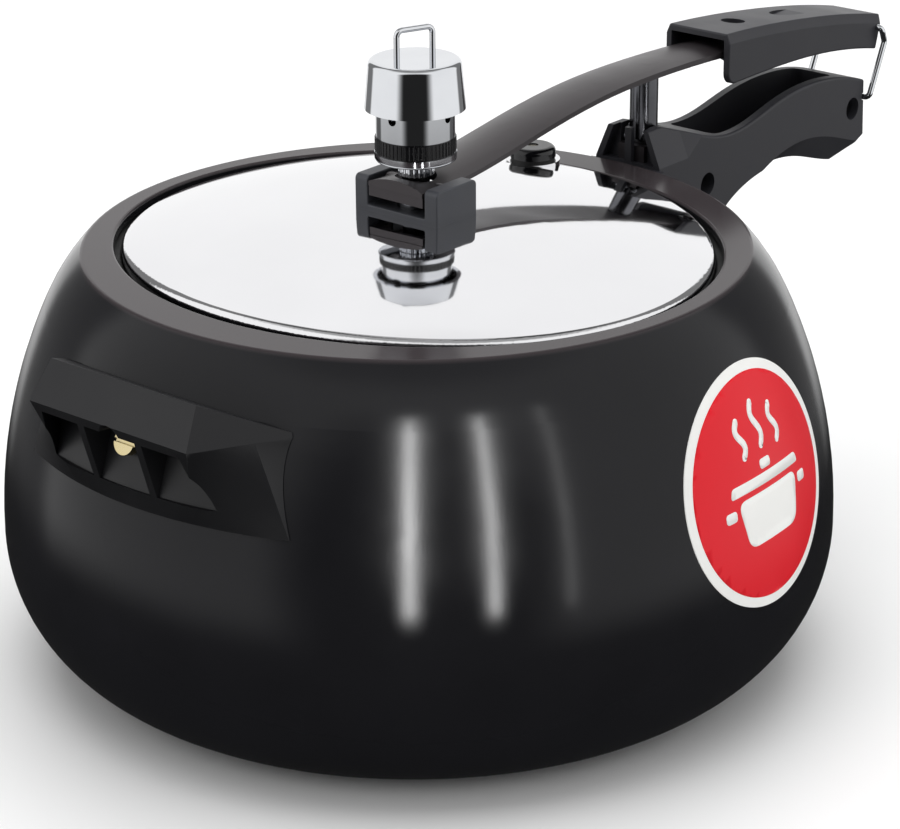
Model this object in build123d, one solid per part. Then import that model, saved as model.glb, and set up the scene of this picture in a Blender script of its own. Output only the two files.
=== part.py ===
from build123d import *
import os
from math import atan2, cos, hypot, pi, radians, sin, sqrt

# Stovetop pressure cooker with an inner lid and a lever, in millimetres.
# The origin is on the table under the middle of the pot, +X runs along the long handles and +Z is up.
# Points of the handles and the lever are given from the rim's edge, so they follow the pot's size.

# pot
RIM_R = 95.8                # outer edge of the flat rim
RIM_Z = 124.0               # height of the rim
BELLY_R = RIM_R + 26.2      # largest radius
BELLY_Z = 0.3387 * RIM_Z    # height of the largest radius
BASE_R = RIM_R - 11.2       # radius of the flat base
SHOULDER_R = RIM_R + 10.9   # where the upper arc turns into the shoulder
SHOULDER_Z = RIM_Z - 15.5
WALL = 3.25
BASE_T = 4.0
MOUTH_X = RIM_R - 12.8      # half the mouth along the handles
MOUTH_Y = RIM_R - 5.8       # half the mouth across them
RIM_ROUND = 1.2             # rounding of the rim's outer edge
MOUTH_ROUND = 0.8

# lid
CROWN_GAP = 2.2             # mouth to lid crown
LID_T = 1.6
LID_Z = RIM_Z + 8.8         # top of the flat in the middle
LID_FLAT_R = 19.0
LID_EDGE_Z = RIM_Z + 0.2    # crown height at LID_EDGE_R
LID_EDGE_R = MOUTH_X + 1.0
LID_ROUND = 2.2             # turned-down edge
FLANGE_OUT = 5.6            # flange beyond the crown
GASKET_T = 3.4
SEAL_GAP = 0.2
FLANGE_Z1 = RIM_Z - WALL - SEAL_GAP - GASKET_T

# lid bracket and its pins
BRACKET_X0 = -9.0
BRACKET_X1 = 8.5
BAR_W = 20.0                # width of the lever bar at the bracket
BRACKET_IN = BAR_W / 2 + 0.6
CHEEK_T = 4.7
BRACKET_H = 10.3
FLOOR_T = 1.8
FLOOR_Z = LID_Z + FLOOR_T
PIN_Z = LID_Z + 6.1
PIN_D = 4.0
PIN_IN = BAR_W / 2 - 2.8
PIN_FIT = 0.08              # running clearance on the radius

# vent
TUBE_D = 8.0
VENT_D = 2.6
TUBE_TOP = LID_Z + 20.2
TUBE_TAIL = 8.0             # thread under the lid
COLLAR_D = TUBE_D + 3.0
COLLAR_T = 1.6
NUT_Z0 = LID_Z + 11.2
NUT_D = TUBE_D + 2.0
NUT_GROOVES = 20
WASHER_T = 1.2
WASHER_D = TUBE_D + 7.0
LOCKNUT_T = 4.6
LOCKNUT_A = TUBE_D + 6.0    # across the flats

# lever
BAR_T = 3.2
BAR_CROWN = 1.9             # middle of the bar above its edges
BAR_Z = LID_Z + 11.0        # crown of the bar over the bracket
BAR_X1 = RIM_R + 120.2
FLANGE_T = 2.4              # flanges that hang from the bar between the cheeks
LIP_T = 1.8                 # lip turned down at the bar's end
LUG_R = 3.5
FULCRUM_X = RIM_R + 13.2
FOOT_Z = RIM_Z + 5.0        # axis of the rounded foot
FOOT_R = 4.0
FOOT_HALF = 4.6
POST_D = 8.8
POST_PIN_D = 5.0
POST_TOP = RIM_Z + 26.0
POST_PIN_Z = RIM_Z + 13.0   # bottom of the rivet in the post
RIVET_CAP_D = 8.2           # countersunk end of the rivet
RIVET_CAP_T = 1.6

# screws and rivets
SCREW_D = 4.0
HEAD_D = 7.0
HEAD_T = 2.6
HEAD_Y = 5.0                # underside of the body handle's screw heads
NUT_T = 2.6
DRILL = 0.2                 # bolt to its hole, on the radius
RIVET_D = 5.0
RIVET_HEAD = 0.8 * RIVET_D  # radius of a rivet's head
RIVETS = [(az, z) for az in (-4.3, 4.3) for z in (RIM_Z - 34.0, RIM_Z - 20.0)]

# handles
HANDLE_W0 = 24.6            # width at the pot
HANDLE_W1 = 21.0            # width at the free end
BODY_X1 = RIM_R + 125.2
BODY_ROUND = 0.8
TROUGH_WALL = 3.4
TROUGH_X0 = RIM_R + 38.2
TROUGH_X1 = RIM_R + 109.2
TROUGH_Z = RIM_Z - 12.0
RAMP_X1 = RIM_R + 60.0      # end of the ramp in the trough
RAMP_Z = RIM_Z - 0.4        # its upper end
PLATE_T = 2.5               # bracket plate on the pot
PLATE_Y = 11.0
TONGUE_T = 6.0
TONGUE_X1 = RIM_R + 37.2
TONGUE_Z0 = RIM_Z - 27.0
TONGUE_Z1 = RIM_Z - 3.0
SEAT_X = 6.2                # half the post's seat
SEAT_Y = 4.9
FRONT_SCREW = (RIM_R + 31.5, RIM_Z - 13.0)
REAR_SCREW = (RIM_R + 117.2, RIM_Z - 8.2)
SKIN = 0.3                  # gap between a handle and the pot
FIT = 0.1                   # gap round a part that is clamped in a handle

LID_HANDLE_X0 = RIM_R + 41.2
LID_HANDLE_X1 = RIM_R + 133.7
LID_HANDLE_WALL = 2.1
LID_BEVEL_SIDE = 3.0        # bevel along the top edges, down the side and in over the top
LID_BEVEL_TOP = 1.3
LID_SCREWS = (RIM_R + 60.5, RIM_R + 109.2)
LID_SCREW_Z = RIM_Z + 28.8  # under the front screw's head
LID_BOSS_D = HEAD_D + 3.4
LID_BOSS_Z = RIM_Z + 27.6   # bottom of the boss under that head
OVAL_AT = (RIM_R + 92.0, RIM_Z + 27.8)

# latch wire
WIRE_D = 2.0
LATCH_X = RIM_R + 130.4
LATCH_Z = RIM_Z + 17.2
LATCH_HALF = 12.4
LATCH_IN = 8.2              # where the turned-in ends stop
HOOK_X = RIM_R + 124.4
HOOK_Z = RIM_Z - 5.6

# pressure regulator
REG_Z = LID_Z + 15.5
REG_D = 22.5
REG_CAP_D = 28.8
REG_CAP_Z0 = REG_Z + 15.1
REG_TOP = REG_Z + 29.2
BASE_RING_T = 2.4
BAND_Z0 = REG_Z + BASE_RING_T
BAND_Z1 = BAND_Z0 + 4.6
CORE_D = 19.0
BORE_D = TUBE_D + 0.5
CHAMBER_D = 13.0
CHAMBER_Z0 = TUBE_TOP - 1.0
CAP_T = 1.3
CAP_TAPER = 1.2             # the cap is this much smaller in radius at its top
WEIGHT_TOP = REG_TOP - CAP_T
NEEDLE_D = 5.0
PORT_D = 2.6
LOOP_W = 11.4
LOOP_H = 8.6
LOOP_WIRE = 1.7
LOOP_TURN = -21.0

# safety valve
VALVE_X = MOUTH_X - 13.0
VALVE_Y = 13.0
VALVE_D = 14.0
VALVE_HOLE = 7.0
VALVE_H = 3.4
VALVE_RISE = 1.5            # pad above the crown
PLUG_D = 3.4
PAD_D = 16.6
PAD_T = 5.0

# helper handle
HELPER_TOP = (-RIM_R - 22.2, 26.7, RIM_Z - 7.4)     # end of the top edge
HELPER_NOSE = (-RIM_R - 28.8, 29.0, RIM_Z - 18.0)   # end of the front edge
HELPER_WING_Y = 44.0                                # end of a wing, at the pot
HELPER_FOOT_AZ = 24.0                               # the foot spans this angle each side
HELPER_FOOT_Z = RIM_Z - 43.0
HELPER_LIP_Z = RIM_Z - 37.0                         # bottom of the finger pocket
HELPER_CEILING_Z = RIM_Z - 20.6
HELPER_WALL = 4.0
HELPER_WEB = 3.0
HELPER_SCREW_Z = RIM_Z - 27.0
HELPER_BACK_X = -80.0                               # inside the pot's outline
BOSS_D = 9.0
BOSS_H = 2.4
HELPER_SEAT = 2.4           # handle between the boss and the screw head
RIB_Y = 10.6
RIB_T = 2.4

# label
LABEL_D = 68.0
LABEL_AZ = -86.0
LABEL_Z = 0.625 * RIM_Z
LABEL_T = 0.25

FAR = 200.0                 # longer than any part, for cutting


# ---------------------------------------------------------------- the pot's profile

def upper_arc():
    """Radius of the wall's upper arc: upright at the belly, through the shoulder point."""
    run = BELLY_R - SHOULDER_R
    rise = SHOULDER_Z - BELLY_Z
    return (run ** 2 + rise ** 2) / (2 * run)


UPPER_R = upper_arc()
UPPER_C = BELLY_R - UPPER_R
TURN = atan2(SHOULDER_Z - BELLY_Z, SHOULDER_R - UPPER_C)


def shoulder_arc():
    """Centre and radius of the shoulder arc, tangent to the upper arc and ending at the rim's edge."""
    dx = RIM_R - SHOULDER_R
    dz = RIM_Z - SHOULDER_Z
    radius = -(dx ** 2 + dz ** 2) / (2 * (dx * cos(TURN) + dz * sin(TURN)))
    return SHOULDER_R - radius * cos(TURN), SHOULDER_Z - radius * sin(TURN), radius


SHOULDER_CX, SHOULDER_CZ, SHOULDER_RAD = shoulder_arc()


def pot_radius(z):
    """Outer radius of the pot at height z, above the belly."""
    if z <= SHOULDER_Z:
        return UPPER_C + sqrt(UPPER_R ** 2 - (z - BELLY_Z) ** 2)
    return SHOULDER_CX + sqrt(SHOULDER_RAD ** 2 - (z - SHOULDER_CZ) ** 2)


def pot_solid(out):
    """The pot as a full body, with its outer surface moved outwards by out."""
    a = BELLY_R - BASE_R + out
    b = BELLY_Z + out if out > -WALL else BELLY_Z - BASE_T
    ring_r = UPPER_R + out
    rad = SHOULDER_RAD + out
    top_z = RIM_Z + min(out, 0.0)
    top_r = SHOULDER_CX + sqrt(rad ** 2 - (top_z - SHOULDER_CZ) ** 2)
    mid = 0.5 * (TURN + atan2(top_z - SHOULDER_CZ, top_r - SHOULDER_CX))
    mid_pt = (SHOULDER_CX + rad * cos(mid), SHOULDER_CZ + rad * sin(mid))
    half_pt = (UPPER_C + ring_r * cos(TURN / 2), BELLY_Z + ring_r * sin(TURN / 2))
    up_pt = (UPPER_C + ring_r * cos(TURN), BELLY_Z + ring_r * sin(TURN))
    with BuildSketch(Plane.XZ) as sk:
        with BuildLine():
            base = Line((0, BELLY_Z - b), (BASE_R, BELLY_Z - b))
            bend = EllipticalCenterArc((BASE_R, BELLY_Z), a, b, start_angle=270, arc_size=90)
            wall = ThreePointArc(bend @ 1, half_pt, up_pt)
            shoulder = ThreePointArc(wall @ 1, mid_pt, (top_r, top_z))
            top = Line(shoulder @ 1, (0, top_z))
            Line(top @ 1, base @ 0)
        make_face()
    return revolve(sk.sketch, Axis.Z)


POT_FULL = pot_solid(0)
POT_SKIN = pot_solid(SKIN)


# ---------------------------------------------------------------- shapes used by several parts

def oval(grow, z0, height):
    """Upright oval block, the mouth's shape grown by grow."""
    shape = Plane.XY.offset(z0) * Ellipse(MOUTH_X + grow, MOUTH_Y + grow)
    return extrude(shape, height)


def box(x0, x1, y0, y1, z0, z1):
    return Pos((x0 + x1) / 2, (y0 + y1) / 2, (z0 + z1) / 2) * Box(x1 - x0, y1 - y0, z1 - z0)


def rod(start, end, diameter):
    """Round bar between two points."""
    a = Vector(*start)
    b = Vector(*end)
    plane = Plane(origin=a, z_dir=b - a)
    return plane * Cylinder(diameter / 2, (b - a).length, align=(Align.CENTER, Align.CENTER, Align.MIN))


def upright(x, y, z0, z1, diameter):
    return rod((x, y, z0), (x, y, z1), diameter)


def across(x, z, half, diameter):
    """Round bar through the middle plane, from -half to +half in Y."""
    return rod((x, -half, z), (x, half, z), diameter)


def cone(z0, bottom, top, height):
    return Pos(0, 0, z0) * Cone(bottom, top, height, align=(Align.CENTER, Align.CENTER, Align.MIN))


def hexagon(x, y, z0, z1, flats):
    shape = Plane.XY.offset(z0) * Pos(x, y) * RegularPolygon(flats / sqrt(3), 6)
    return extrude(shape, z1 - z0)


def from_rim(points):
    """Points in X and Z, given from the rim's edge."""
    return [(RIM_R + x, RIM_Z + z) for x, z in points]


def side_face(wires):
    with BuildSketch(Plane.XZ) as sk:
        with BuildLine():
            wires()
        make_face()
    return sk.sketch


def side_block(wires, half):
    """Side profile in X and Z, made into a block from -half to half in Y."""
    return extrude(side_face(wires), half, both=True)


def plan_taper(x0, x1, w0, w1):
    """Tall block that narrows from width w0 at x0 to w1 at x1."""
    pts = [(x0, -w0 / 2), (x1, -w1 / 2), (x1, w1 / 2), (x0, w0 / 2)]
    return extrude(make_face(Polyline(*pts, close=True)), FAR)


def normal_place(az, z):
    """Plane on the pot wall at height z, its own Z pointing outwards."""
    r = pot_radius(z)
    tilt = atan2(z - BELLY_Z, r - UPPER_C)
    spot = Vector(r, 0, z).rotate(Axis.Z, az)
    out = Vector(cos(tilt), 0, sin(tilt)).rotate(Axis.Z, az)
    side = Vector(0, 1, 0).rotate(Axis.Z, az)
    return Plane(origin=spot, x_dir=side, z_dir=out)


def standing(place, z0, z1, diameter):
    """Round bar along the plane's own Z, from z0 to z1."""
    return place * Pos(0, 0, (z0 + z1) / 2) * Cylinder(diameter / 2, z1 - z0)


# ---------------------------------------------------------------- pot

def pot_body():
    pot = POT_FULL - pot_solid(-WALL) - oval(0, SHOULDER_Z, 40)
    top = [e for e in pot.edges() if abs((e @ 0.3).Z - RIM_Z) < 0.01]
    pot = fillet(max(top, key=lambda e: e.length), RIM_ROUND)
    mouth = [e for e in pot.edges() if hypot((e @ 0).X / MOUTH_X, (e @ 0).Y / MOUTH_Y) < 1.001]
    mouth = [e for e in mouth if (e @ 0).Z > SHOULDER_Z and e.length > MOUTH_X]
    pot = fillet(mouth, MOUTH_ROUND)
    for az, z in RIVETS:
        pot -= standing(normal_place(az, z), -2 * WALL, 2 * WALL, RIVET_D)
    return pot


def body_rivets():
    out = []
    for az, z in RIVETS:
        place = normal_place(az, z)
        shank = standing(place, -WALL - 0.2, PLATE_T + 0.2, RIVET_D)
        outer = standing(place, PLATE_T, PLATE_T + 1.6, 2 * RIVET_HEAD)
        inner = standing(place, -WALL - 1.7, -WALL - 0.1, 2 * RIVET_HEAD)
        out.append(shank + outer + inner)
    return out


def body_bracket():
    plate = pot_solid(PLATE_T) - POT_FULL
    plate &= box(RIM_R - 36, RIM_R + 34, -PLATE_Y, PLATE_Y, RIM_Z - 40, RIM_Z - 13)
    tongue = box(RIM_R, TONGUE_X1, -TONGUE_T / 2, TONGUE_T / 2, TONGUE_Z0, TONGUE_Z1) - pot_solid(0.05)
    part = plate + tongue
    for az, z in RIVETS:
        part -= standing(normal_place(az, z), -6, 6, RIVET_D)
    return part - across(*FRONT_SCREW, 9, SCREW_D + 2 * DRILL)


def fulcrum_seat():
    block = box(FULCRUM_X - SEAT_X, FULCRUM_X + SEAT_X, -SEAT_Y, SEAT_Y, TONGUE_Z1, FOOT_Z - 1.4)
    return block - across(FULCRUM_X, FOOT_Z, 20, 2 * (FOOT_R + PIN_FIT))


# ---------------------------------------------------------------- body handle

BODY_TOP = [(12.2, 9.5), (23.2, 5.8), (40.7, 1.0), (54.2, 1.3), (72.2, 4.9), (90.2, 6.4), (108.2, 4.7), (124.2, 0.3)]
BODY_END = [(125.2, -19.0), (110.2, -25.0)]
BODY_UNDER = [(110.2, -25.0), (103.2, -23.1), (88.7, -18.6), (72.2, -16.5), (56.2, -18.1), (43.2, -23.0),
              (31.2, -33.5), (23.2, -47.0)]
BODY_BACK = [(-5.8, -47.0), (-5.8, 9.5)]


def body_outline():
    top = Spline(*from_rim(BODY_TOP))
    end, corner = from_rim(BODY_END)
    Line(top @ 1, end)
    Line(end, corner)
    under = Spline(*from_rim(BODY_UNDER))
    foot, back = from_rim(BODY_BACK)
    Line(under @ 1, foot)
    Line(foot, back)
    Line(back, top @ 0)


def nose_cut(side):
    """What is taken off beside the nose, so that it narrows upwards."""
    def tri(dx, inner, outer, low):
        y = side * FAR
        top = RIM_Z + 11.5
        pts = [(side * inner, top), (y, top), (y, RIM_Z + low), (side * outer, RIM_Z + low)]
        return Plane.YZ.offset(RIM_R + dx) * make_face(Polyline(*pts, close=True))
    front = loft([tri(-7.8, 6.8, 16.5, -11.5), tri(20.2, 6.8, 16.5, -11.5)], ruled=True)
    rear = loft([tri(20.2, 6.8, 16.5, -11.5), tri(46.2, 14.5, 14.6, 10.0)], ruled=True)
    return front + rear


# stations of the hollow for the fingers: x, its upper edge on the side, the underside there
FINGER_BEVEL = [(62.2, -17.0, -17.5), (71.2, -13.6, -16.9), (86.2, -11.4, -18.4), (101.2, -13.2, -22.6),
                (111.2, -16.2, -25.6), (127.2, -21.2, -27.5)]
FINGER_IN = 4.2


def finger_cut(side):
    """Slanting cut along the lower edge of the side, deepest under the fingers."""
    faces = []
    for dx, edge, low in FINGER_BEVEL:
        half = HANDLE_W0 / 2 - (HANDLE_W0 - HANDLE_W1) / 2 * dx / (BODY_X1 - RIM_R)
        pts = [(side * (half + 0.5), RIM_Z + edge), (side * (half + 0.5), RIM_Z + low - 6),
               (side * (half - FINGER_IN), RIM_Z + low - 6), (side * (half - FINGER_IN), RIM_Z + low)]
        faces.append(Plane.YZ.offset(RIM_R + dx) * make_face(Polyline(*pts, close=True)))
    return loft(faces)


def nose_recess():
    """Recess in the front of the nose, with one upright rib left standing."""
    pts = [(5.4, RIM_Z + 10), (11.8, RIM_Z - 6), (-11.8, RIM_Z - 6), (-5.4, RIM_Z + 10)]
    front = Plane.YZ.offset(RIM_R - 8) * make_face(Polyline(*pts, close=True))
    hollow = extrude(front, 16.4)
    return hollow & box(0, FAR, -FAR, FAR, RIM_Z - 1.4, FAR) - box(0, FAR, -1.2, 1.2, 0, FAR)


def trough_ramp():
    """The trough's floor rises to its upper end at the nose."""
    def wires():
        Polyline((TROUGH_X0 - 1, RAMP_Z), (RAMP_X1, TROUGH_Z), (RAMP_X1, TROUGH_Z - 1), (TROUGH_X0 - 1, TROUGH_Z - 1),
                 close=True)
    return side_block(wires, HANDLE_W0 / 2)


def body_handle():
    """Both halves as one block."""
    full = side_block(body_outline, HANDLE_W0 / 2)
    full &= plan_taper(RIM_R - 7.8, BODY_X1, HANDLE_W0 + 1.0, HANDLE_W1)
    full -= nose_cut(1)
    full -= nose_cut(-1)
    edges = [e for e in full.edges() if (e @ 0.5).X > RIM_R and abs((e @ 0.5).Y) > 2]
    full = fillet(edges, BODY_ROUND)
    full -= finger_cut(1)
    full -= finger_cut(-1)
    flange = (pot_solid(3.2) - POT_SKIN) & box(RIM_R - 16, RIM_R + 16, -14, 14, RIM_Z - 12, RIM_Z - 2.2)
    full = full - POT_SKIN + flange
    full -= box(RIM_R - 16, RIM_R + 5.2, -20, 20, RIM_Z - 2.2, RIM_Z + 16)
    trough = plan_taper(TROUGH_X0, TROUGH_X1, HANDLE_W0 - 2 * TROUGH_WALL, HANDLE_W1 - 2 * TROUGH_WALL + 0.6)
    trough &= box(0, 2 * FAR, -FAR, FAR, TROUGH_Z, FAR)
    full -= fillet(trough.edges().filter_by(Axis.Z), 3.0) - trough_ramp()
    # room for the post, its seat, the bracket and the rivet heads
    room_x = SEAT_X + FIT
    full -= box(FULCRUM_X - room_x, FULCRUM_X + room_x, -SEAT_Y - 0.2, SEAT_Y + 0.2, TONGUE_Z1, FAR)
    room_y = TONGUE_T / 2 + FIT
    full -= box(RIM_R - 6, TONGUE_X1 + 0.2, -room_y, room_y, TONGUE_Z0 - 0.2, TONGUE_Z1 + 0.01)
    full -= pot_solid(PLATE_T + 0.2) & box(RIM_R - 36, RIM_R + 34, -PLATE_Y - 0.2, PLATE_Y + 0.2, 0, RIM_Z - 12.8)
    for az, z in RIVETS:
        full -= standing(normal_place(az, z), -4.8, 4.8, 2 * RIVET_HEAD + 0.8)
    full -= nose_recess()
    for x, z in (FRONT_SCREW, REAR_SCREW):
        full -= across(x, z, 20, SCREW_D + 2 * DRILL)
        full -= rod((x, -20, z), (x, -HEAD_Y, z), HEAD_D + 0.6)
        full -= rod((x, HEAD_Y, z), (x, 20, z), HEAD_D + 0.6)
    # the wire of the latch rests in this groove
    low = HOOK_Z - WIRE_D / 2 - 0.3
    high = HOOK_Z + WIRE_D / 2 + 0.4
    full -= box(HOOK_X - WIRE_D / 2 - 0.3, BODY_X1 + 1, -20, 20, low, high)
    return full


BODY_HANDLE = body_handle()


def body_handle_half(side):
    """One half: side is 1 for the left one and -1 for the right one."""
    return BODY_HANDLE & box(0, 2 * FAR, min(0, side * FAR), max(0, side * FAR), 0, FAR)


def body_handle_screws():
    out = []
    for x, z in (FRONT_SCREW, REAR_SCREW):
        head = rod((x, -HEAD_Y - HEAD_T, z), (x, -HEAD_Y, z), HEAD_D)
        head -= rod((x, -HEAD_Y - HEAD_T, z), (x, -HEAD_Y - HEAD_T + 1.2, z), 2.6)
        shank = rod((x, -HEAD_Y, z), (x, HEAD_Y + 2.2, z), SCREW_D)
        out.append(head + shank)
    return out


def body_handle_nuts():
    out = []
    for x, z in (FRONT_SCREW, REAR_SCREW):
        face = Plane(origin=(x, HEAD_Y, z), z_dir=(0, 1, 0)) * RegularPolygon(HEAD_D / 2, 6)
        out.append(extrude(face, NUT_T) - rod((x, 0, z), (x, 20, z), SCREW_D))
    return out


# ---------------------------------------------------------------- helper handle

def helper_wing_x():
    """The wings end just inside the pot's surface."""
    return -sqrt((pot_radius(HELPER_NOSE[2]) - 1.4) ** 2 - HELPER_WING_Y ** 2)


def helper_base():
    """Lower block, under the front edge, with an underside that follows the pot."""
    foot_r = pot_radius(HELPER_FOOT_Z) + 0.6
    foot_x = -foot_r * cos(radians(HELPER_FOOT_AZ))
    foot_y = foot_r * sin(radians(HELPER_FOOT_AZ))
    x0, y0, z0 = HELPER_NOSE
    x1 = helper_wing_x()
    y1 = HELPER_WING_Y
    back = HELPER_BACK_X
    with BuildSketch(Plane.XY.offset(z0)) as upper:
        Polygon((back, -y1), (x1, -y1), (x0, -y0), (x0, y0), (x1, y1), (back, y1), align=None)
    with BuildSketch(Plane.XY.offset(HELPER_FOOT_Z)) as lower:
        with BuildLine():
            Polyline((foot_x, foot_y), (foot_x + 2, foot_y), (back, foot_y), (back, -foot_y),
                     (foot_x + 2, -foot_y), (foot_x, -foot_y))
            ThreePointArc((foot_x, -foot_y), (-foot_r, 0), (foot_x, foot_y))
        make_face()
    return loft([lower.sketch, upper.sketch], ruled=True)


def helper_wedge():
    """Upper block: a sloping top and front that run out in the two wings."""
    x0, y0, z0 = HELPER_NOSE
    x1 = helper_wing_x()
    tx, ty, tz = HELPER_TOP
    nose = [Vector(x0, y0, z0), Vector(x0, -y0, z0)]
    ridge = [Vector(tx, ty, tz), Vector(tx, -ty, tz)]
    wing = [Vector(x1, HELPER_WING_Y, z0), Vector(x1, -HELPER_WING_Y, z0)]
    sides = [(nose[0], nose[1], ridge[1], ridge[0]), (ridge[0], ridge[1], wing[1], wing[0]),
             (wing[0], wing[1], nose[1], nose[0]), (ridge[0], wing[0], nose[0]), (ridge[1], nose[1], wing[1])]
    return Solid(Shell([Face(Wire.make_polygon(side, close=True)) for side in sides]))


def finger_pocket():
    """Pocket open to the front, with two ribs left standing in it."""
    x0 = HELPER_NOSE[0]
    y0 = HELPER_NOSE[1] - HELPER_WALL
    x1 = helper_wing_x()
    y1 = HELPER_WING_Y - HELPER_WALL
    pts = [(x0 - 10, -y0), (x0 - 10, y0), (x0, y0), (x1, y1), (x1, -y1), (x0, -y0)]
    floor = Plane.XY.offset(HELPER_LIP_Z) * make_face(Polyline(*pts, close=True))
    pocket = extrude(floor, HELPER_CEILING_Z - HELPER_LIP_Z) - pot_solid(SKIN + HELPER_WEB)
    for side in (1, -1):
        y = side * RIB_Y
        pocket -= box(-FAR, 0, y - RIB_T / 2, y + RIB_T / 2, 0, FAR)
    return pocket


def helper_handle():
    block = helper_base() + helper_wedge() - POT_SKIN - finger_pocket()
    place = normal_place(180, HELPER_SCREW_Z)
    block -= standing(place, -2, BOSS_H + 0.2, BOSS_D + 0.4)
    block -= standing(place, -40, 40, SCREW_D + 2 * DRILL)
    return block - standing(place, BOSS_H + HELPER_SEAT, 40, HEAD_D + 0.8)


def helper_bracket():
    place = normal_place(180, HELPER_SCREW_Z)
    boss = standing(place, -2, BOSS_H, BOSS_D) - POT_FULL
    return boss - standing(place, -20, 20, SCREW_D)


def helper_screw():
    place = normal_place(180, HELPER_SCREW_Z)
    seat = BOSS_H + HELPER_SEAT
    shank = standing(place, 0.5, seat, SCREW_D)
    head = standing(place, seat, seat + HEAD_T, HEAD_D)
    return shank + head - place * Pos(0, 0, seat + HEAD_T) * Box(HEAD_D + 1, 1.0, 1.8)


def label():
    disc = standing(normal_place(LABEL_AZ, LABEL_Z), -15, 15, LABEL_D)
    return (pot_solid(LABEL_T) - POT_FULL) & disc


# ---------------------------------------------------------------- lid

def crown_arc():
    """Radius of the crown's arc, tangent to the flat in the middle."""
    run = LID_EDGE_R - LID_FLAT_R
    drop = LID_Z - LID_EDGE_Z
    return (run ** 2 + drop ** 2) / (2 * drop)


CROWN_RAD = crown_arc()
CROWN_HALF = radians(9)     # half the angle that the drawn arc spans, past the lid's edge


def crown_z(r):
    """Height of the crown at radius r, beyond the flat."""
    return LID_Z - CROWN_RAD + sqrt(CROWN_RAD ** 2 - (r - LID_FLAT_R) ** 2)


def crown_solid(down):
    """Everything under the crown's surface moved down by down."""
    rad = CROWN_RAD - down
    centre_z = LID_Z - CROWN_RAD
    mid = (LID_FLAT_R + rad * sin(CROWN_HALF), centre_z + rad * cos(CROWN_HALF))
    end = (LID_FLAT_R + rad * sin(2 * CROWN_HALF), centre_z + rad * cos(2 * CROWN_HALF))
    low = LID_Z - 52
    with BuildSketch(Plane.XZ) as sk:
        with BuildLine():
            axis = Line((0, low), (0, LID_Z - down))
            flat = Line(axis @ 1, (LID_FLAT_R, LID_Z - down))
            ThreePointArc(flat @ 1, mid, end)
            Line(end, (end[0], low))
            Line((end[0], low), axis @ 0)
        make_face()
    return revolve(sk.sketch, Axis.Z)


VALVE_Z = crown_z(hypot(VALVE_X, VALVE_Y)) + VALVE_RISE


def at_valve(z0, z1, diameter):
    """Round bar on the safety valve's axis, with heights from the pad's top."""
    return upright(VALVE_X, VALVE_Y, VALVE_Z + z0, VALVE_Z + z1, diameter)


def lid():
    bottom = FLANGE_Z1 - LID_T
    outer = crown_solid(0) & oval(-CROWN_GAP, bottom, 40)
    edge = outer.edges().filter_by(lambda e: e.center().Z > FLANGE_Z1 + 2).sort_by(lambda e: e.length)[-2:]
    outer = fillet(edge, LID_ROUND)
    shell = outer - (crown_solid(LID_T) & oval(-CROWN_GAP - LID_T, bottom - 1, 40))
    ring = oval(-CROWN_GAP + FLANGE_OUT, bottom, LID_T)
    shell += ring - oval(-CROWN_GAP - LID_T / 2, bottom - 1, LID_T + 2)
    shell += at_valve(-PAD_T, 0, PAD_D)
    shell -= at_valve(0, 14, VALVE_D)
    shell -= at_valve(-20, 14, VALVE_HOLE + 2 * DRILL)
    return shell - upright(0, 0, LID_Z - 20, LID_Z + 8, TUBE_D + 2 * DRILL)


def gasket():
    ring = oval(-CROWN_GAP + FLANGE_OUT + 0.4, FLANGE_Z1, GASKET_T)
    ring -= oval(-CROWN_GAP + 0.1, FLANGE_Z1 - 1, GASKET_T + 2)
    return fillet(ring.edges(), 0.8)


def lid_bracket():
    top = LID_Z + BRACKET_H
    half = BRACKET_IN + CHEEK_T
    outer = box(BRACKET_X0, BRACKET_X1, -half, half, LID_Z, top)
    outer = fillet(outer.edges().filter_by(Axis.Y).sort_by(Axis.Z)[-2:], 1.6)
    part = outer - box(-20, 20, -BRACKET_IN, BRACKET_IN, FLOOR_Z, top + 1)
    edges = [e for e in part.edges() if (e @ 0.5).Z > LID_Z + 0.1 and e.length > 2.5]
    part = fillet([e for e in edges if e.geom_type != GeomType.CIRCLE], 0.4)
    part -= upright(0, 0, LID_Z - 5, LID_Z + 20, TUBE_D + 2 * DRILL)
    return part - across(0, PIN_Z, 30, PIN_D)


def bracket_pins():
    outer = BRACKET_IN + CHEEK_T
    return [rod((0, side * PIN_IN, PIN_Z), (0, side * outer, PIN_Z), PIN_D) for side in (1, -1)]


def bored(part, diameter):
    """The part with a hole down the middle of the lid's axis."""
    return part - upright(0, 0, LID_Z - 40, LID_Z + 60, diameter)


def vent_tube():
    tube = upright(0, 0, LID_Z - LID_T - TUBE_TAIL, TUBE_TOP, TUBE_D)
    tube = chamfer(tube.edges().sort_by(Axis.Z)[-1], 1.6)
    return bored(tube + upright(0, 0, FLOOR_Z, FLOOR_Z + COLLAR_T, COLLAR_D), VENT_D)


def vent_nut():
    nut = upright(0, 0, NUT_Z0, REG_Z - 0.3, NUT_D)
    for k in range(NUT_GROOVES):
        a = 2 * pi * k / NUT_GROOVES
        nut -= upright(NUT_D / 2 * cos(a), NUT_D / 2 * sin(a), NUT_Z0 - 1, REG_Z, 0.7)
    return bored(nut, TUBE_D)


def vent_seal():
    z1 = LID_Z - LID_T
    return bored(upright(0, 0, z1 - WASHER_T, z1, WASHER_D), TUBE_D)


def vent_locknut():
    z1 = LID_Z - LID_T - WASHER_T
    return bored(hexagon(0, 0, z1 - LOCKNUT_T, z1, LOCKNUT_A), TUBE_D)


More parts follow.
